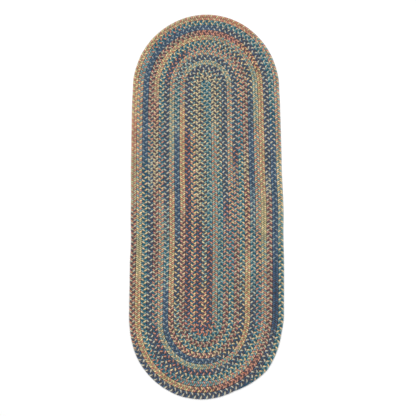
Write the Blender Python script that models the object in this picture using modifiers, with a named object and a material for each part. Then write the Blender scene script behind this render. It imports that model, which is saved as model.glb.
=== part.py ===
"""Braided rug: one flat plaited braid wound into a long oval and laced row to row.

The braid starts at the lower end of the middle, runs up, turns at the top, runs down
beside itself and goes on round the outside. The upper half-turns share one centre. The
lower half-turns share another, half a row further left, and so the rows form a spiral.
The last row narrows round the lower right and ends against the row inside it.

Metres, +Z up. X runs across the rug and Y along it. The underside lies on Z = 0.
"""
import math
from collections import namedtuple

import bmesh
import bpy
from mathutils import Matrix

# Driving sizes
ROW_PITCH = 0.0215            # width of one row of the braid
ROWS_PER_SIDE = 14            # rows left and right of the middle seam
THICKNESS = 0.0100            # height of the braid's crown above the floor
UPPER_TURN_Y = 0.4755         # centre of the upper half-turns
LOWER_TURN_Y = -0.4865        # centre of the lower half-turns
LOWER_TURN_X = -ROW_PITCH / 2

# The last row narrows between these angles below the lower turn's +X side
TAPER_START = math.radians(36.0)
TAPER_END = math.radians(66.0)

TURN_STEPS = 16               # facets round each half-turn
RUN_STATIONS = (0.385, 0.145, -0.055, -0.175, -0.255, -0.455)   # sections of the straight runs
WELD = 0.00001                # distance within which shared corners are one
SHARP_ANGLE = math.radians(60.0)   # edges that bend more than this are shaded sharp

# One row's cross-section. Across is in row pitches from the row's middle, and height is a
# share of the thickness. The top is crowned, the underside has a flat land that rests.
SectionPoint = namedtuple("SectionPoint", "across height")
ROW_TOP = (
    SectionPoint(across=-0.50, height=0.72),
    SectionPoint(across=-0.27, height=0.95),
    SectionPoint(across=0.00, height=1.00),
    SectionPoint(across=0.27, height=0.95),
    SectionPoint(across=0.50, height=0.72),
)
ROW_UNDERSIDE = (
    SectionPoint(across=0.50, height=0.24),
    SectionPoint(across=0.30, height=0.00),
    SectionPoint(across=-0.30, height=0.00),
    SectionPoint(across=-0.50, height=0.24),
)
# The free side of the outermost row stands out past its pitch
FREE_EDGE = (
    SectionPoint(across=0.52, height=0.82),
    SectionPoint(across=0.655, height=0.50),
    SectionPoint(across=0.54, height=0.14),
)

# How the hand-laced oval departs from a true one: at each place along its length, how far
# its middle lies to the right, and its width as a share of the even width.
Station = namedtuple("Station", "y shift girth")
UNEVENNESS = (
    Station(y=-0.780, shift=-0.0105, girth=0.960),
    Station(y=-0.655, shift=-0.0065, girth=0.980),
    Station(y=-0.535, shift=-0.0039, girth=0.980),
    Station(y=-0.455, shift=-0.0015, girth=0.998),
    Station(y=-0.255, shift=0.0005, girth=1.002),
    Station(y=-0.175, shift=0.0015, girth=0.998),
    Station(y=-0.055, shift=0.0012, girth=1.005),
    Station(y=0.145, shift=-0.0023, girth=1.001),
    Station(y=0.385, shift=-0.0039, girth=0.996),
    Station(y=0.465, shift=-0.0040, girth=0.987),
    Station(y=0.585, shift=-0.0037, girth=0.975),
    Station(y=0.780, shift=-0.0017, girth=0.962),
)

YARN_COLOUR = (0.235, 0.190, 0.175, 1.0)   # the mixed yarns seen together
YARN_ROUGHNESS = 0.92


def clear_scene():
    """Remove every object of the open scene."""
    for old in list(bpy.data.objects):
        bpy.data.objects.remove(old, do_unlink=True)


def make_collection(name):
    """Make a collection under the scene."""
    collection = bpy.data.collections.new(name)
    bpy.context.scene.collection.children.link(collection)
    return collection


def yarn_material():
    """The rug's dull, soft yarn."""
    material = bpy.data.materials.new("braided yarn")
    material.use_nodes = True
    shader = material.node_tree.nodes["Principled BSDF"]
    shader.inputs["Base Color"].default_value = YARN_COLOUR
    shader.inputs["Roughness"].default_value = YARN_ROUGHNESS
    shader.inputs["Metallic"].default_value = 0.0
    return material


def placed(points, middle):
    """Section points as (distance, height) for a row whose middle is at the distance given."""
    return [(middle + point.across * ROW_PITCH, point.height * THICKNESS) for point in points]


def section_half(first_middle, rows):
    """One side's section from the axis at distance 0 out to the free edge and back below.

    The rows' middles are at first_middle and every pitch after it. A first middle at 0 is a
    row cut in half by the axis.
    """
    top, underside = [], []
    for row in range(rows):
        middle = first_middle + row * ROW_PITCH
        is_last = row == rows - 1
        top += placed(ROW_TOP[:-1], middle)
        underside = placed(ROW_UNDERSIDE[1:], middle) + underside
        if is_last:
            top += placed(FREE_EDGE, middle)
    return [point for point in top + underside if point[0] > -WELD]


def turned_end(name, first_middle, rows):
    """A half-turn of the rows: their section swept through 180 degrees by a Screw modifier."""
    profile = section_half(first_middle, rows)
    mesh = bpy.data.meshes.new(name)
    corners = [(distance, 0.0, height) for distance, height in profile]
    mesh.from_pydata(corners, [(i, i + 1) for i in range(len(corners) - 1)], [])
    end = bpy.data.objects.new(name, mesh)
    bpy.context.scene.collection.objects.link(end)

    screw = end.modifiers.new("half turn", 'SCREW')
    screw.axis = 'Z'
    screw.angle = math.pi
    screw.steps = TURN_STEPS
    screw.render_steps = TURN_STEPS
    screw.use_merge_vertices = True
    screw.merge_threshold = WELD

    depsgraph = bpy.context.evaluated_depsgraph_get()
    swept = bpy.data.meshes.new_from_object(end.evaluated_get(depsgraph))
    bpy.data.objects.remove(end, do_unlink=True)
    return swept


def taper_share(angle):
    """Width of the last row at an angle below +X: 1 is full width, and 0 is its end."""
    share = (TAPER_END - angle) / (TAPER_END - TAPER_START)
    return min(max(share, 0.0), 1.0)


def taper_last_row(swept):
    """Draw the last row of the lower end in against the free edge of the row inside it.

    Each corner of the last row slides from its full place to the nearest corner of the
    inner row's free edge: the upper ones to its upper corner, the lower to its lower one.
    """
    inner_middle = (ROWS_PER_SIDE - 1) * ROW_PITCH
    edge = placed(FREE_EDGE, inner_middle)
    groove = inner_middle + ROW_PITCH / 2
    full_edge = placed(FREE_EDGE, inner_middle + ROW_PITCH)
    for vertex in swept.vertices:
        distance = math.hypot(vertex.co.x, vertex.co.y)
        if distance < groove - WELD:
            continue
        height = vertex.co.z
        if height > full_edge[0][1] - WELD or height > ROW_TOP[0].height * THICKNESS - WELD:
            end_distance, end_height = edge[0]
        elif abs(height - full_edge[1][1]) < WELD:
            end_distance, end_height = edge[1]
        else:
            end_distance, end_height = edge[2]
        angle = math.atan2(-vertex.co.y, vertex.co.x)
        share = taper_share(abs(angle))
        new_distance = end_distance + (distance - end_distance) * share
        vertex.co.x *= new_distance / distance
        vertex.co.y *= new_distance / distance
        vertex.co.z = end_height + (height - end_height) * share


def add_straight_runs(shell):
    """The straight runs: the whole section extruded from the upper turns to the lower ones."""
    right = section_half(ROW_PITCH / 2, ROWS_PER_SIDE)
    left = [(-distance, height) for distance, height in reversed(right)]
    loop = right + left
    corners = [shell.verts.new((x, UPPER_TURN_Y, z)) for x, z in loop]
    edges = []
    for first, second in zip(corners, corners[1:] + corners[:1]):
        edges.append(shell.edges.new((first, second)))

    place = UPPER_TURN_Y
    for station in RUN_STATIONS + (LOWER_TURN_Y,):
        extruded = bmesh.ops.extrude_edge_only(shell, edges=edges)["geom"]
        corners = [item for item in extruded if isinstance(item, bmesh.types.BMVert)]
        edges = [item for item in extruded if isinstance(item, bmesh.types.BMEdge)]
        bmesh.ops.translate(shell, verts=corners, vec=(0.0, station - place, 0.0))
        place = station


def blended(before, after, y):
    """Shift and girth between two stations, eased so that the edge has no corners."""
    share = (y - before.y) / (after.y - before.y)
    share = min(max(share, 0.0), 1.0)
    share = share * share * (3.0 - 2.0 * share)
    shift = before.shift + (after.shift - before.shift) * share
    girth = before.girth + (after.girth - before.girth) * share
    return shift, girth


def make_uneven(shell):
    """Move each corner sideways as the unevenness stations say."""
    for vertex in shell.verts:
        before, after = UNEVENNESS[0], UNEVENNESS[1]
        for first, second in zip(UNEVENNESS, UNEVENNESS[1:]):
            if first.y <= vertex.co.y:
                before, after = first, second
        shift, girth = blended(before, after, vertex.co.y)
        vertex.co.x = shift + vertex.co.x * girth


def braided_rug(collection):
    """The whole rug: both turned ends and the straight runs, welded into one closed body."""
    upper = turned_end("upper turns", ROW_PITCH / 2, ROWS_PER_SIDE)
    lower = turned_end("lower turns", 0.0, ROWS_PER_SIDE + 1)
    half_round = Matrix.Rotation(math.pi, 4, 'Z')
    lower.transform(half_round)
    taper_last_row(lower)
    upper.transform(Matrix.Translation((0.0, UPPER_TURN_Y, 0.0)))
    lower.transform(Matrix.Translation((LOWER_TURN_X, LOWER_TURN_Y, 0.0)))

    shell = bmesh.new()
    shell.from_mesh(upper)
    shell.from_mesh(lower)
    add_straight_runs(shell)
    bmesh.ops.remove_doubles(shell, verts=shell.verts, dist=WELD)
    # The half-round land under the braid's first end is the one flat hole left to fill
    bmesh.ops.holes_fill(shell, edges=shell.edges)
    bmesh.ops.recalc_face_normals(shell, faces=shell.faces)
    make_uneven(shell)

    mesh = bpy.data.meshes.new("braided_rug")
    shell.to_mesh(mesh)
    shell.free()
    mesh.shade_smooth()
    mesh.set_sharp_from_angle(angle=SHARP_ANGLE)
    mesh.materials.append(yarn_material())
    for used in (upper, lower):
        bpy.data.meshes.remove(used)
    rug = bpy.data.objects.new("braided_rug", mesh)
    collection.objects.link(rug)
    return rug


def main():
    clear_scene()
    braided_rug(make_collection("braided rug"))


main()
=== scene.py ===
"""Braided rug: a long oval rug of one plaited yarn braid, strand by strand.

One flat braid of three space-dyed strands starts in the middle, winds clockwise into a
long oval and ends in a tapered tail at the lower right. The strands are tubes carried
along a plait's curve, which is itself carried along the spiral. Lacing thread joins the
rows, and a thin dark ground lies inside the braid and closes its smallest gaps; its dark
colour is painted shade for the shadow in those gaps. The strands' colour also holds
painted shade on their flanks, between their yarn ends and where they tuck under.

Metres, +Z up. X runs across the rug and Y along it. The underside lies on Z = 0.
"""
import math
from collections import namedtuple

import bpy
import numpy as np
from bpy.props import FloatProperty, FloatVectorProperty, IntProperty, PointerProperty
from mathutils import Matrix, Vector


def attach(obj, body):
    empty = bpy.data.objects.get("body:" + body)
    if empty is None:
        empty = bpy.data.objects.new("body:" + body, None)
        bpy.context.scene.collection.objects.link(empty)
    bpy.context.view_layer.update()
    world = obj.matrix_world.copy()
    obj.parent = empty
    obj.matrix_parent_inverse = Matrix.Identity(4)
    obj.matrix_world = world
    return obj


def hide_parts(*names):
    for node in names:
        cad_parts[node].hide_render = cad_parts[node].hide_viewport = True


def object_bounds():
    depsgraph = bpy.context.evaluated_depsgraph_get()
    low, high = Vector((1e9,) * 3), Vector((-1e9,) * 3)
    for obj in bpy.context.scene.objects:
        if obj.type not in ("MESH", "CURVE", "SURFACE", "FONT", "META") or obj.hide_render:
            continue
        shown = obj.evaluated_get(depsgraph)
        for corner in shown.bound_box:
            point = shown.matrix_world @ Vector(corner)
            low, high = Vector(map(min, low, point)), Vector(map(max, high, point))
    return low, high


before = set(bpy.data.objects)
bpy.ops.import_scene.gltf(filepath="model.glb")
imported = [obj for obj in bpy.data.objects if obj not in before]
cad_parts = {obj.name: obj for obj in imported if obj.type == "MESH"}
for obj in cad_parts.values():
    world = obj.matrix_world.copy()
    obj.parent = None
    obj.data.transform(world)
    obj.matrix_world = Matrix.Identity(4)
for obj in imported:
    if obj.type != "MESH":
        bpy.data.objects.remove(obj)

bl_info = {
    "name": "Braided rug",
    "version": (1, 0, 0),
    "blender": (4, 5, 0),
    "location": "3D Viewport > Sidebar > Braided rug",
    "description": "Plaits a long oval braided rug strand by strand",
    "category": "Add Mesh",
}

CAD_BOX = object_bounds()
CAD_NODE = "braided_rug"
BODY = "root"
TAU = 2.0 * math.pi

# The spiral's fixed places, as in the frame's own rug
UPPER_TURN_Y = 0.4755         # centre of the upper half-turns
LOWER_TURN_Y = -0.4865        # centre of the lower half-turns
LEGS_A_TURN = 4               # up the left, round the top, down the right, round the bottom
TAPER_START = math.radians(36.0)   # the last row narrows between these angles below +X
TAPER_END = math.radians(66.0)
TAIL_STUB = 0.05              # share of its width that the tail keeps where it is sewn down
TAIL_HEIGHT = 0.45            # share of its height that it would keep at no width
FIRST_REACH = 0.98            # share of half a row by which the first end stands out
FIRST_STUB = 0.02             # square of the least share of its width that it keeps
FIRST_HEIGHT = 0.60           # share of its height that it would keep at no width
FREE_SPREAD = 0.27            # how much wider a row's outer half is where no row holds it in
LOOSE_FROM = 10.5             # beside the middle whole rows lie looser instead, from this row
LOOSE_OVER = 3.0              # and fully so as many rows further out

# How the hand-laid oval departs from a true one: at each place along its length, how far
# its middle lies to the right, and its width as a share of the even width.
Station = namedtuple("Station", "y shift girth")
UNEVENNESS = (
    Station(y=-0.780, shift=-0.0105, girth=0.960),
    Station(y=-0.655, shift=-0.0065, girth=0.980),
    Station(y=-0.535, shift=-0.0039, girth=0.980),
    Station(y=-0.455, shift=-0.0015, girth=0.998),
    Station(y=-0.255, shift=0.0005, girth=1.002),
    Station(y=-0.175, shift=0.0015, girth=0.998),
    Station(y=-0.055, shift=0.0012, girth=1.005),
    Station(y=0.145, shift=-0.0023, girth=1.001),
    Station(y=0.385, shift=-0.0039, girth=0.996),
    Station(y=0.465, shift=-0.0040, girth=0.987),
    Station(y=0.585, shift=-0.0037, girth=0.975),
    Station(y=0.780, shift=-0.0017, girth=0.962),
)

# The plait's mesh
STRANDS = 3
PULL = (1.008, 1.002, 1.008, 0.986)    # how far each leg of a turn stretches the plait
PLAIT_STEPS = 12              # rings of a strand in one plait
STRAND_SIDES = 7              # corners of one ring
RING_LEAN = 0.25              # how far a ring's first corner is turned, in sides
WANDER_SEED = 11
PLAIT_WANDER = 0.06           # how far a plait strays from its even place, in plaits
PLAIT_WANDER_SPACING = 5      # plaits from one such stray to the next
ROW_WANDER = 0.00022          # how far the row's middle strays sideways
ROW_WANDER_SPACING = 2        # plaits from one such stray to the next
GIRTH_WANDER = 0.035          # how much a strand's thickness varies, from plait to plait
HUE_SPREAD = 0.15             # how far the dye's hue strays from stitch to stitch
STRENGTH_SPREAD = 0.8         # how far the dye's strength does
SEAM_SHARE = 0.25             # share of the painted shade on the flanks that is left in a seam
SEAM_FROM = 0.66              # share of half a row from which a strand counts as in the seam
TUCK_REACH = 0.0037           # how near the row's middle a strand goes under the next and gets painted shade
TUCK_SHADE = 0.50             # how much painted shade darkens it there

# The lacing thread's mesh
LACE_STEPS = 6                # rings in one stitch
LACE_SIDES = 3                # corners of one ring
LACE_REACH = 0.0020           # how far the thread swings to each side of its seam
LACE_DEPTH = 0.0018           # how far it rises above mid height and dips below

# The ground's mesh
GROUND_PROUD = 0.22           # how far it passes the outermost row's middle, in rows
GROUND_TURN_POINTS = 60       # points of each edge round a quarter-turn
GROUND_RUN_POINTS = 40        # and along the straight run
GROUND_SIDES = 32             # corners of one section
GROUND_THICKNESS = 0.0016
GROUND_POLE = 0.0004          # half of its width at the two poles
GROUND_RIM = 0.25             # power of the sine that keeps it flat up to its round rim

# The dye lengths were charted from the photograph's rows in whole plaits, and corrected
# against its measured colours. They are counted from a little way up the first row.
DYE_START = 0.060
DYE_PLAIT = 0.02455           # braid that counts as one plait
DYE_BLEND = 1.6               # plaits over which one dye runs into the next

Stretch = namedtuple("Stretch", "plaits yarn")


def stretches(*pairs):
    """A strand's dye lengths from plaits and yarn names in turn."""
    return [Stretch(plaits, yarn) for plaits, yarn in zip(pairs[::2], pairs[1::2])]


# After 330 to 380 plaits a strand's dye lengths repeat, every 200 plaits or 4.9 metres of
# braid. After two such repeats they drift, and are charted one by one.
REPEATS = 2
LIGHT_STRAND = (
    stretches(
        4, "gold", 31, "cream", 27, "moss_cream", 34, "rust", 35, "cream", 37, "rust",
        32, "gold", 31, "cream", 29, "moss_cream", 33, "rust", 3, "cream", 34, "pale",
    )
    + stretches(
        34, "salmon", 16, "cream", 16, "gold", 6, "salmon", 10, "moss_cream", 32, "salmon",
        34, "cream", 18, "sky", 34, "pale",
    ) * REPEATS
    + stretches(
        32, "salmon", 18, "cream", 14, "gold", 6, "salmon", 12, "moss_cream", 32, "salmon",
        32, "cream", 18, "sky", 30, "pale", 36, "salmon", 18, "cream", 13, "gold",
        9, "salmon", 10, "moss_cream", 34, "salmon", 19, "cream", 34, "pale", 33, "salmon",
        33, "gold", 5, "sage", 35, "salmon", 30, "cream", 31, "sky", 33, "pale",
        35, "salmon", 30, "gold", 6, "sage", 35, "salmon", 6, "cream", 27, "pale",
        18, "sky", 11, "slate", 30, "pale", 71, "rust", 21, "salmon", 38, "cream",
        5, "navy",
    )
)
MIDDLE_STRAND = (
    stretches(
        3, "salmon", 30, "teal", 32, "sea", 33, "slate", 32, "plum", 32, "teal",
        36, "dark_teal", 33, "teal", 31, "sea", 46, "slate", 29, "navy", 8, "dark_teal",
        33, "maroon",
    )
    + stretches(
        16, "sage", 42, "tan", 32, "sea", 28, "navy", 13, "sea", 28, "navy",
        8, "dark_teal", 33, "maroon",
    ) * REPEATS
    + stretches(
        25, "sage", 33, "tan", 32, "sea", 24, "navy", 17, "sea", 28, "navy",
        8, "dark_teal", 30, "maroon", 28, "sage", 33, "tan", 23, "sea", 38, "navy",
        6, "dark_teal", 33, "maroon", 29, "sage", 25, "tan", 38, "teal", 36, "navy",
        33, "slate", 39, "maroon", 28, "sage", 27, "gold", 37, "teal", 37, "navy",
        32, "slate", 21, "maroon", 9, "sage", 6, "tan", 17, "gold", 47, "tan", 27, "teal",
        4, "slate",
    )
)
DARK_STRAND = (
    stretches(
        33, "plum", 32, "dark_teal", 33, "plum", 66, "moss_cream", 35, "salmon",
        29, "plum", 31, "dark_teal", 74, "plum",
    )
    + stretches(
        32, "moss_cream", 13, "salmon", 18, "rust", 33, "teal", 33, "dark_teal",
        18, "plum", 18, "slate", 6, "dark_teal", 29, "plum",
    ) * REPEATS
    + stretches(
        4, "plum", 29, "moss_cream", 13, "salmon", 15, "rust", 38, "teal", 32, "dark_teal",
        18, "plum", 16, "slate", 10, "dark_teal", 30, "plum", 32, "moss_cream",
        10, "salmon", 11, "rust", 37, "teal", 32, "dark_teal", 31, "plum",
        31, "moss_cream", 35, "rust", 7, "sage", 32, "sea", 38, "dark_teal", 32, "slate",
        28, "plum", 29, "moss_cream", 35, "rust", 6, "sage", 32, "sea", 36, "dark_teal",
        24, "slate", 39, "plum", 26, "moss_cream", 6, "sage", 6, "rust", 22, "sage",
        11, "rust", 36, "teal", 20, "dark_teal",
    )
)
# In the order in which the stitches follow each other along the braid's outer edge
STRAND_DYES = (LIGHT_STRAND, MIDDLE_STRAND, DARK_STRAND)

# The camera, read off the photograph: where it stands and looks, and its lens
CAMERA_PLACE = (0.0046, -0.434, 2.800)
CAMERA_TARGET = (0.0046, -0.0353, 0.008)
CAMERA_LENS = 61.0            # millimetres
CAMERA_SENSOR = 36.0          # width in millimetres

# Two soft boxes that shine at the rug's middle, size in metres and power in watts
SoftBox = namedtuple("SoftBox", "name place size power")
SOFT_BOXES = (
    SoftBox(name="key", place=(-0.8, 0.9, 3.2), size=2.2, power=87.0),
    SoftBox(name="fill", place=(1.6, -1.2, 3.0), size=2.6, power=39.0),
)
SKY_STRENGTH = 0.43
FLOOR_HALF = 15.0             # half of the floor's side
FLOOR_DEPTH = 0.0002          # how far the floor lies under the rug

# The look of the yarn, as shares of its brightness or of its depth
PLY_RELIEF = 0.22             # how high the ply's waves stand on a yarn end
GROOVE_POWER = 0.6            # less than 1 keeps the painted shade in the grooves between the ends narrow
FLANK_POWER = 2.2             # more than 1 keeps the shade near the strand's two flanks
END_SPREAD = 0.22             # how far the yarn ends' brightness differs
CREST_PAINTED_LIGHT = 1.05       # painted light on the middle of an end, where no groove shade is painted
GROOVE_SHADE = 0.45           # how much painted shade darkens the groove between two ends
TONE_RANGE = (0.35, 0.65)     # where nearly all of the wool's tone lies
PATCH_SHARE = 0.35            # share of the slow patches in that tone, beside the stitches
FUZZ_RELIEF = 0.5             # how high the fuzz stands beside the ends
BUMP_STRENGTH = 0.7
ROUGHNESS = 0.78              # where the fuzz is least
ROUGHNESS_SPREAD = 0.16       # how much rougher it is where the fuzz is most


# ---- sizes and colours

def length_property(name, description, default, least):
    """A length that a user would change, in metres."""
    return FloatProperty(
        name=name, description=description, default=default, min=least, unit='LENGTH')


def yarn_colour(name, shade):
    """A yarn's colour property, as it shows on a screen."""
    return FloatVectorProperty(
        name=name, description=f"Dye of the {name.lower()} yarn", default=shade,
        size=3, min=0.0, max=1.0, subtype='COLOR_GAMMA')


class RugSizes(bpy.types.PropertyGroup):
    """The sizes that a user would change"""
    row_pitch: length_property("Row pitch", "Width of one row of the braid", 0.0215, 0.005)
    rows: IntProperty(
        name="Rows a side", description="Rows left and right of the middle seam",
        default=14, min=2)
    thickness: length_property(
        "Thickness", "Height of the braid above the floor", CAD_BOX[1].z - CAD_BOX[0].z, 0.002)
    plait: length_property(
        "Plait", "Length of braid in which a strand comes back to its side", 0.0245, 0.005)
    swing: length_property(
        "Swing", "How far a strand's middle swings to each side", 0.0073, 0.0)
    rise: length_property("Rise", "How far a strand's middle rises and dips", 0.0023, 0.0)
    strand_width: length_property(
        "Strand width", "Width of a strand as it lies flat", 0.0074, 0.001)
    strand_height: length_property(
        "Strand height", "Height of a strand as it lies flat", 0.0049, 0.001)
    lace_stitch: length_property(
        "Lacing stitch", "Length of one stitch of the lacing thread", 0.0170, 0.004)
    lace_thickness: length_property(
        "Lacing thickness", "Thickness of the lacing thread", 0.0013, 0.0004)


class RugColours(bpy.types.PropertyGroup):
    """The yarns' dyes and the floor's colour"""
    cream: yarn_colour("Cream", (0.86, 0.77, 0.61))
    pale: yarn_colour("Pale", (0.75, 0.73, 0.66))
    moss_cream: yarn_colour("Moss cream", (0.72, 0.71, 0.61))
    sage: yarn_colour("Sage", (0.73, 0.70, 0.55))
    gold: yarn_colour("Gold", (0.90, 0.79, 0.59))
    tan: yarn_colour("Tan", (0.84, 0.75, 0.59))
    salmon: yarn_colour("Salmon", (0.78, 0.57, 0.50))
    rust: yarn_colour("Rust", (0.78, 0.55, 0.46))
    maroon: yarn_colour("Maroon", (0.39, 0.32, 0.35))
    plum: yarn_colour("Plum", (0.32, 0.33, 0.38))
    navy: yarn_colour("Navy", (0.27, 0.39, 0.49))
    slate: yarn_colour("Slate", (0.30, 0.38, 0.48))
    dark_teal: yarn_colour("Dark teal", (0.17, 0.40, 0.48))
    teal: yarn_colour("Teal", (0.48, 0.62, 0.62))
    sea: yarn_colour("Sea", (0.49, 0.63, 0.64))
    sky: yarn_colour("Sky", (0.57, 0.62, 0.64))
    # painted shade: the ground's dark colour stands for the shadow in the gaps between strands
    ground: yarn_colour("Ground", (0.20, 0.18, 0.19))
    lacing: yarn_colour("Lacing", (0.36, 0.34, 0.36))
    floor: yarn_colour("Floor", (0.955, 0.955, 0.955))


def linear(shade):
    """A screen colour as linear light, with an opaque alpha: the usual sRGB curve."""
    screen = np.array(shade)
    light = np.where(screen <= 0.04045, screen / 12.92, ((screen + 0.055) / 1.055) ** 2.4)
    return np.append(light, 1.0)


# ---- the spiral

def eased(share):
    """Ease from 0 to 1 with no corner at either end: 3s^2 - 2s^3."""
    share = np.clip(share, 0.0, 1.0)
    return share * share * (3.0 - 2.0 * share)


def made_uneven(x, y):
    """Points moved sideways as the stations say: x' = shift(y) + x * girth(y), eased between."""
    table = np.array(UNEVENNESS)
    before = np.clip(np.searchsorted(table[:, 0], y, side="right") - 1, 0, len(table) - 2)
    low, high = table[before], table[before + 1]
    share = eased((y - low[..., 0]) / (high[..., 0] - low[..., 0]))
    shift = low[..., 1] + (high[..., 1] - low[..., 1]) * share
    girth = low[..., 2] + (high[..., 2] - low[..., 2]) * share
    return shift + x * girth, y


def spiral_legs(sizes):
    """Arc length at which each leg of the spiral starts, and last the tail's end.

    A turn's legs are two straight runs between the turns' centres, the upper half-turn of
    radius (n - 1/2) pitches and the lower one of n pitches. The last ends with the tail.
    """
    turn = np.arange(1, sizes.rows + 1)
    straight = np.full(sizes.rows, UPPER_TURN_Y - LOWER_TURN_Y)
    upper = math.pi * (turn - 0.5) * sizes.row_pitch
    lower = math.pi * turn * sizes.row_pitch
    lower[-1] = TAPER_END * sizes.rows * sizes.row_pitch
    lengths = np.column_stack([straight, upper, straight, lower]).ravel()
    return np.concatenate([[0.0], np.cumsum(lengths)])


def spiral_leg(run, sizes):
    """The leg of its turn that holds each arc length, the way into it, and its two radii."""
    legs = spiral_legs(sizes)
    leg = np.clip(np.searchsorted(legs, run, side="right") - 1, 0, len(legs) - 2)
    turn = leg // LEGS_A_TURN + 1
    upper = (turn - 0.5) * sizes.row_pitch
    lower = turn * sizes.row_pitch
    return leg % LEGS_A_TURN, run - legs[leg], upper, lower


def beside_tail(angle, sizes):
    """Arc length, on the row that the tail is sewn to, of an angle below +X.

    It is the start of the lower half-turn before the last, plus the angle times its radius.
    """
    start = spiral_legs(sizes)[-2 - LEGS_A_TURN]
    return start + angle * (sizes.rows - 1) * sizes.row_pitch


def besideness(run, sizes):
    """1 beside the rug's middle and 0 at its two ends: cos^2 of the angle turned."""
    leg, into, upper, lower = spiral_leg(run, sizes)
    straight = np.zeros_like(into)
    return np.cos(np.choose(leg, [straight, into / upper, straight, into / lower])) ** 2


def spiral_place(run, across, sizes):
    """Where on the floor a point lies that is `run` along the braid and `across` it.

    Across is positive outwards. On a straight run the point is (radius + across) from the
    middle seam, and on a half-turn it is (radius + across) from the turn's centre, turned
    by the arc length over the radius. Beside the middle the outer rows lie further out, by
    the width that the free edge gains at the ends, eased in with the distance reached.
    """
    leg, into, upper, lower = spiral_leg(run, sizes)
    half = sizes.row_pitch / 2
    out = upper + across
    out_below = lower + across
    reach = np.choose(leg, [out, out, out, out_below - half * np.cos(into / lower)])
    loose = FREE_SPREAD * half * besideness(run, sizes) * eased(
        (reach / sizes.row_pitch - LOOSE_FROM) / LOOSE_OVER)
    out = out + loose
    out_below = out_below + loose
    x = np.choose(leg, [
        -out, -out * np.cos(into / upper), out, out_below * np.cos(into / lower) - half])
    y = np.choose(leg, [
        LOWER_TURN_Y + into, UPPER_TURN_Y + out * np.sin(into / upper),
        UPPER_TURN_Y - into, LOWER_TURN_Y - out_below * np.sin(into / lower)])
    return made_uneven(x, y)


def spread(run, across, sizes):
    """Let the outer half of a row widen where no other row lies outside it.

    That is the last turn, and the turn before it from where the tail ends. Across is
    scaled there by 1 + FREE_SPREAD on its positive side, but less beside the middle.
    """
    freed_from = beside_tail(TAPER_START, sizes)
    freed_to = beside_tail(TAPER_END, sizes)
    free = eased((run - freed_from) / (freed_to - freed_from)) * (1.0 - besideness(run, sizes))
    return across * np.where(across > 0.0, 1.0 + FREE_SPREAD * free, 1.0)


def narrowed(run, across, height, sizes):
    """Draw the braid in at its two ends.

    The first end is round: across is scaled by the half-circle sqrt(1 - (run / half)^2).
    The tail shrinks evenly towards its inner edge. Both ends' strands sink towards mid
    height as they narrow.
    """
    half = sizes.row_pitch / 2
    first = np.sqrt(np.clip(1.0 - (np.minimum(run, 0.0) / half) ** 2, FIRST_STUB, 1.0))
    across = across * first
    tail_start = spiral_legs(sizes)[-2]
    angle = (run - tail_start) / (sizes.rows * sizes.row_pitch)
    tail = np.clip((TAPER_END - angle) / (TAPER_END - TAPER_START), TAIL_STUB, 1.0)
    across = -half + (across + half) * tail
    middle = sizes.thickness / 2
    flat = np.minimum(
        TAIL_HEIGHT + (1.0 - TAIL_HEIGHT) * tail, FIRST_HEIGHT + (1.0 - FIRST_HEIGHT) * first)
    return across, middle + (height - middle) * flat


def wander(noise, count, spacing, amount):
    """Smooth random drift: normal values every `spacing` steps, eased from one to the next."""
    knots = noise.normal(0.0, amount, count // spacing + 3)
    step = np.arange(count) / spacing
    before = step.astype(int)
    share = eased(step - before)
    return knots[before] * (1.0 - share) + knots[before + 1] * share


# ---- meshes

def tube_corners(tubes, rings, sides):
    """Vertex numbers of the quads round each tube and of the two caps that close it."""
    vertex = np.arange(tubes * rings * sides).reshape(tubes, rings, sides)
    beside = np.roll(vertex, -1, axis=2)
    quads = np.stack(
        [vertex[:, :-1], beside[:, :-1], beside[:, 1:], vertex[:, 1:]], axis=-1)
    caps = np.concatenate([vertex[:, 0, ::-1], vertex[:, -1]])
    return quads.reshape(-1, 4), caps


def ribbon_map(tubes, rings, sides, run):
    """The pattern's map: across it the true length along the tube, and up it the share of
    the way round. The caps take their rim's length.
    """
    side = np.arange(sides) / sides
    ahead = side + 1.0 / sides
    shape = (tubes, rings - 1, sides)
    start = np.broadcast_to(run[:, :-1, None], shape)
    end = np.broadcast_to(run[:, 1:, None], shape)
    low, high = np.broadcast_to(side, shape), np.broadcast_to(ahead, shape)
    quads = np.stack([start, low, start, high, end, high, end, low], axis=-1)
    rims = np.concatenate([run[:, 0], run[:, -1]])
    caps = np.stack(np.broadcast_arrays(rims[:, None], side), axis=-1)
    return np.concatenate([quads.ravel(), caps.ravel()])


def strip_map(tubes, sides, run, girth):
    """The flat layout for baking: the tubes, laid end to end, are cut into equal strips.

    The strips lie one above the other, about as many as make them as long as the square
    is wide. The caps are small rounds in a row of their own above the strips.
    """
    margin, cap_radius = 0.06, 0.35    # shares of a strip's height
    steps = np.diff(run, axis=1).ravel()
    total = steps.sum()
    strips = max(int(round(math.sqrt(total / girth))), 1)
    start = np.cumsum(steps) - steps
    strip = np.minimum((start / total * strips).astype(int), strips - 1)
    first = start[np.searchsorted(strip, np.arange(strips))]
    left = start - first[strip]
    widest = (left + steps).max()
    rows = strips + 1
    side = np.arange(sides) / sides
    low = (strip[:, None] + margin + (1.0 - 2.0 * margin) * side) / rows
    high = low + (1.0 - 2.0 * margin) / sides / rows
    left = np.broadcast_to((left / widest)[:, None], low.shape)
    right = left + (steps / widest)[:, None]
    quads = np.stack([left, low, left, high, right, high, right, low], axis=-1)
    angle = TAU * side
    middle = (np.arange(2 * tubes)[:, None] + 0.5) / (2 * tubes)
    caps = np.stack(np.broadcast_arrays(
        middle + cap_radius / rows * np.cos(angle),
        (strips + 0.5 + cap_radius * np.sin(angle)) / rows), axis=-1)
    caps[:tubes] = caps[:tubes, ::-1]
    return np.concatenate([quads.ravel(), caps.ravel()])


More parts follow.
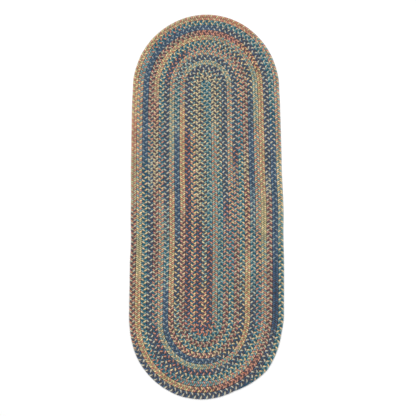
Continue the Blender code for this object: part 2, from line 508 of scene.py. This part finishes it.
def tube_piece(name, points, run, girth, material, dye=None, seam=None, tuck_shade=None):
    """A piece of closed tubes.

    Points are [tube, ring, side, xyz], run is the length along each tube at each ring,
    girth the way round it. A braid also has the dye, a colour for each ring of each tube,
    and two shares for each point that steer its painted shade: how far it stands in a seam
    between rows, where less of it is painted, and how far it is tucked under the next
    strand, where more is.
    """
    tubes, rings, sides = points.shape[:3]
    quads, caps = tube_corners(tubes, rings, sides)
    corners = np.concatenate([quads.ravel(), caps.ravel()])
    starts = np.concatenate([
        np.arange(len(quads)) * 4, len(quads) * 4 + np.arange(len(caps)) * sides])

    mesh = bpy.data.meshes.new(name)
    mesh.vertices.add(tubes * rings * sides)
    mesh.vertices.foreach_set("co", points.ravel())
    mesh.loops.add(len(corners))
    mesh.loops.foreach_set("vertex_index", corners)
    mesh.polygons.add(len(starts))
    mesh.polygons.foreach_set("loop_start", starts)
    mesh.update(calc_edges=True)

    pattern = mesh.uv_layers.new(name="ribbon")
    pattern.uv.foreach_set("vector", ribbon_map(tubes, rings, sides, run))
    layout = mesh.uv_layers.new(name="OFBake")
    layout.uv.foreach_set("vector", strip_map(tubes, sides, run, girth))
    mesh.uv_layers.active = pattern
    if dye is not None:
        each_corner = np.repeat(dye.reshape(-1, 4), sides, axis=0)
        colour = mesh.attributes.new("dye", 'FLOAT_COLOR', 'POINT')
        colour.data.foreach_set("color", each_corner.ravel())
        for label, share in (("seam", seam), ("tuck_shade", tuck_shade)):
            mesh.attributes.new(label, 'FLOAT', 'POINT').data.foreach_set("value", share.ravel())

    mesh.shade_smooth()
    rim = np.zeros(len(mesh.vertices), dtype=bool)
    rim[caps.ravel()] = True
    ends = np.empty(2 * len(mesh.edges), dtype=np.int32)
    mesh.edges.foreach_get("vertices", ends)
    sharp = rim[ends[::2]] & rim[ends[1::2]]
    mesh.attributes.new("sharp_edge", 'BOOLEAN', 'EDGE').data.foreach_set("value", sharp)
    return finished(name, mesh, material)


def finished(name, mesh, material):
    """Put a mesh into the scene as a piece of the rug that rides on its body."""
    if mesh.validate():
        raise RuntimeError(f"{name}: the mesh had faulty faces")
    mesh.materials.append(material)
    piece = bpy.data.objects.new(name, mesh)
    bpy.context.scene.collection.objects.link(piece)
    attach(piece, BODY)
    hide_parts(CAD_NODE)
    return piece


def ring_frames(middle):
    """Unit vectors across and up a tube at each point of its middle line.

    Along is the line's slope. Across is level and square to it, and up is square to both.
    """
    along = np.gradient(middle, axis=-2)
    along /= np.linalg.norm(along, axis=-1, keepdims=True)
    level = np.hypot(along[..., 0], along[..., 1])
    across = np.stack([-along[..., 1], along[..., 0], np.zeros_like(level)], axis=-1)
    across /= level[..., None]
    return across, np.cross(along, across)


def line_length(middle):
    """Length along a line of points up to each of them: the running sum of the steps."""
    step = np.linalg.norm(np.diff(middle, axis=-2), axis=-1)
    return np.concatenate([np.zeros_like(step[..., :1]), np.cumsum(step, axis=-1)], axis=-1)


# ---- the braid

def plait_lines(sizes):
    """The three strands' middle lines as [strand, ring, (run, across, height)].

    The phase p grows by a full turn in each plait, and each leg of the spiral stretches
    its plaits a little. A strand lies swing * (sin p + q sin 3p) / (1 - q) across the row,
    and rise * (sin 2p + r sin 4p) above mid height. The strands follow each other a third
    of a turn apart. Slow random drifts move the plaits along the row and across it.
    """
    dwell, early = 0.10, 0.25     # q keeps a strand at the edge longer, r lifts it sooner
    noise = np.random.default_rng(WANDER_SEED)
    legs = spiral_legs(sizes)
    legs[0] = -FIRST_REACH * sizes.row_pitch / 2
    legs[-1] -= TAIL_STUB * (TAPER_END - TAPER_START) * sizes.rows * sizes.row_pitch
    plaits_a_leg = np.diff(legs) / (sizes.plait * np.tile(PULL, sizes.rows))
    plaits = np.concatenate([[0.0], np.cumsum(plaits_a_leg)])
    count = int(plaits[-1] * PLAIT_STEPS) + 1
    turns = np.arange(count) / PLAIT_STEPS
    stray = sizes.plait * wander(
        noise, count, PLAIT_WANDER_SPACING * PLAIT_STEPS, PLAIT_WANDER)
    run = np.interp(turns, plaits, legs) + stray
    drift = wander(noise, count, ROW_WANDER_SPACING * PLAIT_STEPS, ROW_WANDER)
    lag = np.arange(STRANDS)[:, None] / STRANDS
    phase = TAU * (turns[None] - lag)
    sway = (np.sin(phase) + dwell * np.sin(3.0 * phase)) / (1.0 - dwell)
    lift = np.sin(2.0 * phase) + early * np.sin(4.0 * phase)
    across = sizes.swing * sway + drift
    height = sizes.thickness / 2 + sizes.rise * lift
    return np.stack([np.broadcast_to(run, across.shape), across, height], axis=-1)


def strand_skin(lines, sizes):
    """The strands' surfaces as [strand, ring, side, xyz]: an oval carried along each line.

    A side at angle a stands half the width times cos a across the strand and half the
    height times sin a above it. The oval is drawn while the braid is straight. Then the
    free edge is widened, the ends are narrowed and the braid is laid along the spiral.
    Beside the points comes each one's share in a seam, which lessens the painted shade on
    its flanks: 0 up to SEAM_FROM of half a row from the row's middle, and 1 from half a row on.
    """
    noise = np.random.default_rng(WANDER_SEED + 1)
    count = lines.shape[1]
    girth = np.stack([
        1.0 + wander(noise, count, PLAIT_STEPS + strand, GIRTH_WANDER)
        for strand in range(STRANDS)])[..., None]
    angle = TAU * (np.arange(STRAND_SIDES) + RING_LEAN) / STRAND_SIDES
    beside, above = ring_frames(lines)
    half_width = girth * sizes.strand_width / 2 * np.cos(angle)
    half_height = girth * sizes.strand_height / 2 * np.sin(angle)
    skin = (
        lines[:, :, None]
        + half_width[..., None] * beside[:, :, None]
        + half_height[..., None] * above[:, :, None])
    run, across, height = skin[..., 0], skin[..., 1], skin[..., 2]
    across = spread(run, across, sizes)
    across, height = narrowed(run, across, height, sizes)
    height = np.clip(height, 0.0, sizes.thickness)
    x, y = spiral_place(run, across, sizes)
    seam = eased((np.abs(skin[..., 1]) / (sizes.row_pitch / 2) - SEAM_FROM) / (1.0 - SEAM_FROM))
    return np.stack([x, y, height], axis=-1), seam


def dyed(plaits, strand, yarns):
    """Colours along a strand at the given plaits: each stretch's own, with short blends."""
    ends = np.cumsum([stretch.plaits for stretch in strand])
    starts = np.concatenate([[0.0], ends[:-1]])
    shades = np.array([yarns[stretch.yarn] for stretch in strand])
    knots = np.column_stack([starts + DYE_BLEND / 2, ends - DYE_BLEND / 2]).ravel()
    held = np.repeat(shades, 2, axis=0)
    return np.stack([np.interp(plaits, knots, channel) for channel in held.T], axis=-1)


def make_braid(sizes, colours):
    """The braid in one piece a turn, so that each has its own fine map.

    A ring is tucked under the next strand by 1 - |across| / TUCK_REACH, eased, and gets
    that much painted shade.
    """
    lines = plait_lines(sizes)
    skin, seam = strand_skin(lines, sizes)
    yarns = {name: linear(getattr(colours, name)) for name in RugColours.__annotations__}
    plaits = (lines[0, :, 0] - DYE_START) / DYE_PLAIT
    dye = np.stack([dyed(plaits, strand, yarns) for strand in STRAND_DYES])
    tuck_shade = eased(1.0 - np.abs(lines[..., 1]) / TUCK_REACH)
    tuck_shade = np.repeat(tuck_shade, STRAND_SIDES, axis=1).reshape(seam.shape)
    length = line_length(lines)
    girth = math.pi * (sizes.strand_width + sizes.strand_height) / 2
    material = strand_material()

    turn_starts = spiral_legs(sizes)[:-1:LEGS_A_TURN]
    bounds = np.searchsorted(lines[0, :, 0], turn_starts)
    bounds[0] = 0
    bounds = np.append(bounds, lines.shape[1] - 1)
    pieces = []
    for turn, (first, last) in enumerate(zip(bounds[:-1], bounds[1:]), start=1):
        part = slice(first, last + 1)
        pieces.append(tube_piece(
            f"braid_turn_{turn:02d}", skin[:, part], length[:, part], girth, material,
            dye[:, part], seam[:, part], tuck_shade[:, part]))
    return pieces


# ---- lacing and ground

def lacing_line(last, seam, sizes):
    """One lacing thread's middle line as [point, (run, across, height)].

    It coils along a seam, from the braid's start to `last`. The phase p grows by a full
    turn in each stitch, and it lies LACE_REACH * cos p across the seam and
    LACE_DEPTH * sin p above mid height.
    """
    count = int(last / sizes.lace_stitch * LACE_STEPS) + 1
    run = np.linspace(0.0, last, count)
    phase = TAU * run / sizes.lace_stitch
    across = seam + LACE_REACH * np.cos(phase)
    height = sizes.thickness / 2 + LACE_DEPTH * np.sin(phase)
    return np.stack([run, across, height], axis=-1)


def make_lacing(sizes):
    """Two lacing threads: one up the middle seam, and one along all the spiral's seams.

    The spiral's seam is the outer edge of each row that has another row outside it, and
    it ends where the tail does. A thread's round section is carried along its line.
    """
    half = sizes.row_pitch / 2
    threads = (
        ("lacing_middle", lacing_line(UPPER_TURN_Y - LOWER_TURN_Y, -half, sizes)),
        ("lacing_spiral", lacing_line(beside_tail(TAPER_END, sizes), half, sizes)),
    )
    material = lacing_material()
    angle = TAU * np.arange(LACE_SIDES) / LACE_SIDES
    radius = sizes.lace_thickness / 2
    made = []
    for name, line in threads:
        beside, above = ring_frames(line)
        skin = (
            line[:, None]
            + radius * np.cos(angle)[:, None] * beside[:, None]
            + radius * np.sin(angle)[:, None] * above[:, None])
        x, y = spiral_place(skin[..., 0], skin[..., 1], sizes)
        points = np.stack([x, y, skin[..., 2]], axis=-1)[None]
        made.append(tube_piece(
            name, points, line_length(line)[None], TAU * radius, material))
    return made


def ground_edges(sizes):
    """The ground's left and right edges, point by point from its lower to its upper pole.

    Each edge is a quarter-turn, a straight run and a quarter-turn, a little outside the
    outermost row's middle. The right one steps in by a row where the tail tapers.
    """
    pitch = sizes.row_pitch
    inner = (sizes.rows - 1 + GROUND_PROUD) * pitch
    outer = (sizes.rows - 0.5 + GROUND_PROUD) * pitch
    turn = np.linspace(0.0, math.pi / 2, GROUND_TURN_POINTS)
    straight = np.linspace(LOWER_TURN_Y, UPPER_TURN_Y, GROUND_RUN_POINTS)[1:-1]
    beside = np.full_like(straight, outer)
    below = math.pi / 2 - turn
    tail = np.clip((TAPER_END - below) / (TAPER_END - TAPER_START), 0.0, 1.0)
    radius = inner + pitch * tail
    above_y = UPPER_TURN_Y + outer * np.sin(turn)
    right_x = [radius * np.cos(below) - pitch / 2, beside, outer * np.cos(turn)]
    right_y = [LOWER_TURN_Y - radius * np.sin(below), straight, above_y]
    left_x = [-inner * np.cos(below) - pitch / 2, -beside, -outer * np.cos(turn)]
    left_y = [LOWER_TURN_Y - inner * np.sin(below), straight, above_y]
    left = np.stack([np.concatenate(left_x), np.concatenate(left_y)], axis=-1)
    right = np.stack([np.concatenate(right_x), np.concatenate(right_y)], axis=-1)
    return left, right


def make_ground(sizes):
    """The thin ground inside the braid, dark with painted shade: a flat lens carried up the rug.

    At each station a closed oval goes from the left edge to the right one and back below:
    the place is left + (right - left) * (1 - cos a) / 2, and the height half the ground's
    thickness times the fourth root of sin a, so that it is flat with a round rim.
    """
    left, right = ground_edges(sizes)
    left[[0, -1], 0] -= GROUND_POLE
    right[[0, -1], 0] += GROUND_POLE
    angle = TAU * (np.arange(GROUND_SIDES) + 0.5) / GROUND_SIDES
    share = ((1.0 - np.cos(angle)) / 2)[None, :, None]
    flat = left[:, None] + (right - left)[:, None] * share
    x, y = made_uneven(flat[..., 0], flat[..., 1])
    lens = np.sign(np.sin(angle)) * np.abs(np.sin(angle)) ** GROUND_RIM
    height = (sizes.thickness + GROUND_THICKNESS * np.broadcast_to(lens, x.shape)) / 2
    points = np.stack([x, y, height], axis=-1)
    run = line_length((left + right) / 2)
    width = np.linalg.norm(right - left, axis=-1).max()
    return tube_piece(
        "braid_ground", points[None], run[None], 2 * width, ground_shade_material())


# ---- materials

def node(tree, kind, **settings):
    """A new shader node with its settings."""
    made = tree.nodes.new(kind)
    for name, value in settings.items():
        setattr(made, name, value)
    return made


def put(tree, socket, value):
    """Link an output socket, or set a plain value."""
    if isinstance(value, bpy.types.NodeSocket):
        tree.links.new(value, socket)
    else:
        socket.default_value = value


def calculated(tree, operation, *values):
    """A Math node's result for the sockets or numbers given."""
    made = node(tree, 'ShaderNodeMath', operation=operation)
    for socket, value in zip(made.inputs, values):
        put(tree, socket, value)
    return made.outputs[0]


def noise_node(tree, place, scale, detail):
    """A Noise Texture node for the place and scale given."""
    made = node(tree, 'ShaderNodeTexNoise')
    put(tree, made.inputs["Vector"], place)
    put(tree, made.inputs["Scale"], scale)
    put(tree, made.inputs["Detail"], detail)
    return made


def new_group(name, inputs, outputs):
    """A node group with the sockets named, what its inputs give and what its outputs take."""
    tree = bpy.data.node_groups.new(name, 'ShaderNodeTree')
    for socket, kind, default in inputs:
        made = tree.interface.new_socket(socket, in_out='INPUT', socket_type=kind)
        if default is not None:
            made.default_value = default
    for socket, kind in outputs:
        tree.interface.new_socket(socket, in_out='OUTPUT', socket_type=kind)
    return tree, node(tree, 'NodeGroupInput').outputs, node(tree, 'NodeGroupOutput').inputs


def twisted_ends_group():
    """Node group: a strand's surface as yarn ends lying side by side with a slow twist.

    The lane is ends * around + twist * length. Within a lane the height is a half sine,
    with the ply's own short waves along it, and the groove shade, a mask for painted shade
    between the ends, is 1 less a power of that half sine. Each end has its own random tone.
    The flank shade is a power of |cos(angle round the strand)|, so 1 where neighbouring
    strands meet; it is a mask for painted shade there.
    """
    tree, given, result = new_group(
        "Twisted ends",
        [("Ribbon", 'NodeSocketVector', None), ("Ends", 'NodeSocketFloat', 12.0),
         ("Twist", 'NodeSocketFloat', 60.0), ("Ply length", 'NodeSocketFloat', 0.004)],
        [("Height", 'NodeSocketFloat'), ("Groove shade", 'NodeSocketFloat'),
         ("End tone", 'NodeSocketFloat'), ("Flank shade", 'NodeSocketFloat')])
    parts = node(tree, 'ShaderNodeSeparateXYZ')
    put(tree, parts.inputs[0], given["Ribbon"])
    along, around = parts.outputs["X"], parts.outputs["Y"]
    lane = calculated(
        tree, 'ADD', calculated(tree, 'MULTIPLY', around, given["Ends"]),
        calculated(tree, 'MULTIPLY', along, given["Twist"]))
    within = calculated(tree, 'FRACT', lane)
    hump = calculated(tree, 'SINE', calculated(tree, 'MULTIPLY', within, math.pi))
    ply_turns = calculated(tree, 'DIVIDE', along, given["Ply length"])
    ply = calculated(
        tree, 'SINE',
        calculated(tree, 'MULTIPLY', calculated(tree, 'ADD', ply_turns, within), TAU))
    relief = calculated(tree, 'MULTIPLY', calculated(tree, 'MULTIPLY', ply, hump), PLY_RELIEF)
    put(tree, result["Height"], calculated(tree, 'ADD', hump, relief))
    put(tree, result["Groove shade"], calculated(
        tree, 'SUBTRACT', 1.0, calculated(tree, 'POWER', hump, GROOVE_POWER)))
    number = calculated(
        tree, 'FLOORED_MODULO', calculated(tree, 'FLOOR', lane), given["Ends"])
    random = node(tree, 'ShaderNodeTexWhiteNoise', noise_dimensions='1D')
    put(tree, random.inputs["W"], number)
    put(tree, result["End tone"], random.outputs["Value"])
    angle = calculated(tree, 'MULTIPLY_ADD', around, TAU, TAU * RING_LEAN / STRAND_SIDES)
    flank = calculated(tree, 'ABSOLUTE', calculated(tree, 'COSINE', angle))
    put(tree, result["Flank shade"], calculated(tree, 'POWER', flank, FLANK_POWER))
    return tree


def wool_group():
    """Node group: wool's uneven dye and fuzz, from the place on the object.

    Tone is a mean of slow patches and of a noise from stitch to stitch. Hue and strength
    are two more channels of the stitch noise, all about one half. Fuzz is the fine fibre
    noise.
    """
    tree, given, result = new_group(
        "Wool",
        [("Place", 'NodeSocketVector', None), ("Patch scale", 'NodeSocketFloat', 22.0),
         ("Stitch scale", 'NodeSocketFloat', 170.0), ("Fibre scale", 'NodeSocketFloat', 1500.0)],
        [("Tone", 'NodeSocketFloat'), ("Hue", 'NodeSocketFloat'),
         ("Strength", 'NodeSocketFloat'), ("Fuzz", 'NodeSocketFloat')])
    patches = noise_node(tree, given["Place"], given["Patch scale"], detail=2.0)
    stitches = noise_node(tree, given["Place"], given["Stitch scale"], detail=2.0)
    fibres = noise_node(tree, given["Place"], given["Fibre scale"], detail=3.0)
    put(tree, result["Tone"], calculated(
        tree, 'ADD', calculated(tree, 'MULTIPLY', patches.outputs[0], PATCH_SHARE),
        calculated(tree, 'MULTIPLY', stitches.outputs[0], 1.0 - PATCH_SHARE)))
    channels = node(tree, 'ShaderNodeSeparateColor')
    put(tree, channels.inputs[0], stitches.outputs["Color"])
    put(tree, result["Hue"], channels.outputs[1])
    put(tree, result["Strength"], channels.outputs[2])
    put(tree, result["Fuzz"], fibres.outputs[0])
    return tree


def placed_group(tree, name, make, **values):
    """A node group, made the first time, placed in a material with its own values."""
    made = node(tree, 'ShaderNodeGroup', node_tree=bpy.data.node_groups.get(name) or make())
    for socket, value in values.items():
        put(tree, made.inputs[socket.replace("_", " ").capitalize()], value)
    return made.outputs


def yarn_material(name, colour, ends, twist, ply, relief, tones, crease_shade):
    """A wool yarn's material.

    Colour is an attribute's name or a plain colour. Tones are the least and greatest
    brightness from the wool's tone, and relief is the depth of the yarn ends in metres.
    Crease shade is how much painted shade darkens the yarn on its flanks, where strands
    meet, and less so in the seams. A yarn with creases also gets painted shade where it is
    tucked under the next strand.
    """
    material = bpy.data.materials.new(name)
    material.use_nodes = True
    tree = material.node_tree
    shader = tree.nodes["Principled BSDF"]

    ribbon = node(tree, 'ShaderNodeUVMap', uv_map="ribbon")
    place = node(tree, 'ShaderNodeTexCoord')
    bundle = placed_group(
        tree, "Twisted ends", twisted_ends_group,
        ribbon=ribbon.outputs[0], ends=ends, twist=twist, ply_length=ply)
    wool = placed_group(tree, "Wool", wool_group, place=place.outputs["Object"])

    if isinstance(colour, str):
        base = node(tree, 'ShaderNodeAttribute', attribute_name=colour).outputs["Color"]
    else:
        base = tuple(colour)
    tone = node(tree, 'ShaderNodeMapRange')
    put(tree, tone.inputs["Value"], wool["Tone"])
    for socket, value in zip(("From Min", "From Max", "To Min", "To Max"), TONE_RANGE + tones):
        tone.inputs[socket].default_value = value
    own = calculated(
        tree, 'MULTIPLY_ADD', bundle["End tone"], END_SPREAD, 1.0 - END_SPREAD / 2)
    # painted shade in the grooves between the yarn ends, and slight painted light on their
    # crests
    groove = calculated(
        tree, 'MULTIPLY_ADD', bundle["Groove shade"], -GROOVE_SHADE, CREST_PAINTED_LIGHT)
    brightness = calculated(
        tree, 'MULTIPLY', calculated(tree, 'MULTIPLY', tone.outputs[0], own), groove)
    # painted shade on the flanks where strands meet, less of it in the seams
    if crease_shade > 0.0:
        seam = node(tree, 'ShaderNodeAttribute', attribute_name="seam").outputs["Fac"]
        depth = calculated(tree, 'MULTIPLY_ADD', seam, (SEAM_SHARE - 1.0) * crease_shade, crease_shade)
        flank_shade = calculated(tree, 'MULTIPLY', bundle["Flank shade"], depth)
        brightness = calculated(
            tree, 'MULTIPLY', brightness, calculated(tree, 'SUBTRACT', 1.0, flank_shade))
        # painted shade where the strand is tucked under the next one
        tuck_shade = node(tree, 'ShaderNodeAttribute', attribute_name="tuck_shade").outputs["Fac"]
        under = calculated(tree, 'MULTIPLY_ADD', tuck_shade, -TUCK_SHADE, 1.0)
        brightness = calculated(tree, 'MULTIPLY', brightness, under)
    shade = node(tree, 'ShaderNodeHueSaturation')
    put(tree, shade.inputs["Color"], base)
    put(tree, shade.inputs["Value"], brightness)
    put(tree, shade.inputs["Hue"], calculated(
        tree, 'MULTIPLY_ADD', wool["Hue"], HUE_SPREAD, 0.5 - HUE_SPREAD / 2))
    put(tree, shade.inputs["Saturation"], calculated(
        tree, 'MULTIPLY_ADD', wool["Strength"], STRENGTH_SPREAD, 1.0 - STRENGTH_SPREAD / 2))
    put(tree, shader.inputs["Base Color"], shade.outputs[0])
    put(tree, shader.inputs["Roughness"], calculated(
        tree, 'MULTIPLY_ADD', wool["Fuzz"], ROUGHNESS_SPREAD, ROUGHNESS))
    shader.inputs["Specular IOR Level"].default_value = 0.25
    shader.inputs["Sheen Weight"].default_value = 0.06
    shader.inputs["Sheen Roughness"].default_value = 0.45

    height = calculated(tree, 'MULTIPLY_ADD', wool["Fuzz"], FUZZ_RELIEF, bundle["Height"])
    bump = node(tree, 'ShaderNodeBump')
    bump.inputs["Strength"].default_value = BUMP_STRENGTH
    bump.inputs["Distance"].default_value = relief
    put(tree, bump.inputs["Height"], height)
    put(tree, shader.inputs["Normal"], bump.outputs[0])
    return material


def strand_material():
    """Space-dyed wool: a bundle of soft plied ends, coloured by the dye lengths, with painted
    shade on its flanks, in its grooves and where it is tucked under.
    """
    return yarn_material(
        "space-dyed wool", "dye", ends=12.0, twist=90.0, ply=0.0045, relief=0.00045,
        tones=(0.75, 1.33), crease_shade=0.75)


def lacing_material():
    """The tight, dull lacing thread."""
    colours = bpy.context.scene.rug_colours
    return yarn_material(
        "lacing thread", linear(colours.lacing), ends=3.0, twist=700.0, ply=0.0012,
        relief=0.0002, tones=(0.85, 1.15), crease_shade=0.0)


def ground_shade_material():
    """The ground's dark colour, drawn as a mixed yarn: painted shade for the shadow in the
    gaps between strands.
    """
    colours = bpy.context.scene.rug_colours
    return yarn_material(
        "ground shade", linear(colours.ground), ends=640.0, twist=0.0, ply=0.004,
        relief=0.0003, tones=(0.75, 1.25), crease_shade=0.0)


def floor_material():
    """The studio's plain pale floor, with the faintest unevenness."""
    colours = bpy.context.scene.rug_colours
    material = bpy.data.materials.new("studio floor")
    material.use_nodes = True
    tree = material.node_tree
    shader = tree.nodes["Principled BSDF"]
    place = node(tree, 'ShaderNodeTexCoord')
    cloud = noise_node(tree, place.outputs["Object"], scale=1.5, detail=2.0)
    pale = linear(colours.floor)
    blend = node(tree, 'ShaderNodeMix', data_type='RGBA', blend_type='MIX')
    put(tree, blend.inputs["Factor"], cloud.outputs[0])
    put(tree, blend.inputs["A"], tuple(pale * (0.99, 0.99, 0.99, 1.0)))
    put(tree, blend.inputs["B"], tuple(pale))
    put(tree, shader.inputs["Base Color"], blend.outputs["Result"])
    shader.inputs["Roughness"].default_value = 0.9
    shader.inputs["Specular IOR Level"].default_value = 0.1
    return material


# ---- the stage

def make_floor():
    """The pale floor: one large square just under the rug."""
    signs = ((-1.0, -1.0), (1.0, -1.0), (1.0, 1.0), (-1.0, 1.0))
    corners = [(x * FLOOR_HALF, y * FLOOR_HALF, -FLOOR_DEPTH) for x, y in signs]
    mesh = bpy.data.meshes.new("studio_floor")
    mesh.from_pydata(corners, [], [(0, 1, 2, 3)])
    mesh.materials.append(floor_material())
    floor = bpy.data.objects.new("studio_floor", mesh)
    bpy.context.scene.collection.objects.link(floor)
    return floor


def aimed(name, data, place, target):
    """A light or camera at its place, turned so that its -Z axis points at its target."""
    made = bpy.data.objects.new(name, data)
    made.location = place
    aim = Vector(target) - Vector(place)
    made.rotation_euler = aim.to_track_quat('-Z', 'Y').to_euler()
    bpy.context.scene.collection.objects.link(made)
    return made


def make_light(box):
    """A square soft box that shines at the middle of the rug."""
    light = bpy.data.lights.new(box.name, 'AREA')
    light.shape = 'SQUARE'
    light.size = box.size
    light.energy = box.power
    aimed(box.name, light, box.place, (0.0, 0.0, 0.0))


def make_sky(strength):
    """Even white light from all round."""
    world = bpy.data.worlds.new("studio")
    world.use_nodes = True
    background = world.node_tree.nodes["Background"]
    background.inputs["Color"].default_value = (1.0, 1.0, 1.0, 1.0)
    background.inputs["Strength"].default_value = strength
    bpy.context.scene.world = world


def make_camera():
    """The camera at the photograph's viewing angle: high above, a little from below."""
    data = bpy.data.cameras.new("camera")
    data.lens = CAMERA_LENS
    data.sensor_width = CAMERA_SENSOR
    data.clip_end = 100.0
    bpy.context.scene.camera = aimed("camera", data, CAMERA_PLACE, CAMERA_TARGET)


# ---- operators and panel

class RUG_OT_braid(bpy.types.Operator):
    """Plait the three strands and wind the braid, one piece a turn"""
    bl_idname = "rug.braid"
    bl_label = "Plait the braid"

    def execute(self, context):
        made = make_braid(context.scene.rug_sizes, context.scene.rug_colours)
        if len(made) != context.scene.rug_sizes.rows:
            raise RuntimeError("the braid has a turn too few or too many")
        return {'FINISHED'}


class RUG_OT_lacing(bpy.types.Operator):
    """Lace each row to the next"""
    bl_idname = "rug.lacing"
    bl_label = "Lace the rows"

    def execute(self, context):
        make_lacing(context.scene.rug_sizes)
        return {'FINISHED'}


class RUG_OT_ground(bpy.types.Operator):
    bl_idname = "rug.ground"
    bl_label = "Lay the ground"

    def execute(self, context):
        ground = make_ground(context.scene.rug_sizes)
        return {'FINISHED'}


class RUG_OT_stage(bpy.types.Operator):
    """Set the floor, the soft light and the camera"""
    bl_idname = "rug.stage"
    bl_label = "Set the stage"

    def execute(self, context):
        make_floor()
        for box in SOFT_BOXES:
            make_light(box)
        make_sky(SKY_STRENGTH)
        make_camera()
        context.scene.view_settings.view_transform = 'Standard'
        return {'FINISHED'}


class RUG_PT_panel(bpy.types.Panel):
    """The rug's sizes, colours and steps"""
    bl_label = "Braided rug"
    bl_idname = "RUG_PT_panel"
    bl_space_type = 'VIEW_3D'
    bl_region_type = 'UI'
    bl_category = "Braided rug"

    def draw(self, context):
        column = self.layout.column()
        for group, kind in (
                (context.scene.rug_sizes, RugSizes), (context.scene.rug_colours, RugColours)):
            for name in kind.__annotations__:
                column.prop(group, name)
        for step in STEPS:
            column.operator(step.bl_idname)


STEPS = (RUG_OT_braid, RUG_OT_lacing, RUG_OT_ground, RUG_OT_stage)
CLASSES = (RugSizes, RugColours) + STEPS + (RUG_PT_panel,)


def register():
    """Register the add-on's classes and the scene's two property groups."""
    for kind in CLASSES:
        bpy.utils.register_class(kind)
    bpy.types.Scene.rug_sizes = PointerProperty(type=RugSizes)
    bpy.types.Scene.rug_colours = PointerProperty(type=RugColours)


def unregister():
    """Undo what register does."""
    del bpy.types.Scene.rug_colours
    del bpy.types.Scene.rug_sizes
    for kind in reversed(CLASSES):
        bpy.utils.unregister_class(kind)


def main():
    """Make the rug and its stage."""
    register()
    bpy.ops.rug.braid()
    bpy.ops.rug.lacing()
    bpy.ops.rug.ground()
    bpy.ops.rug.stage()


if __name__ == "__main__":
    main()
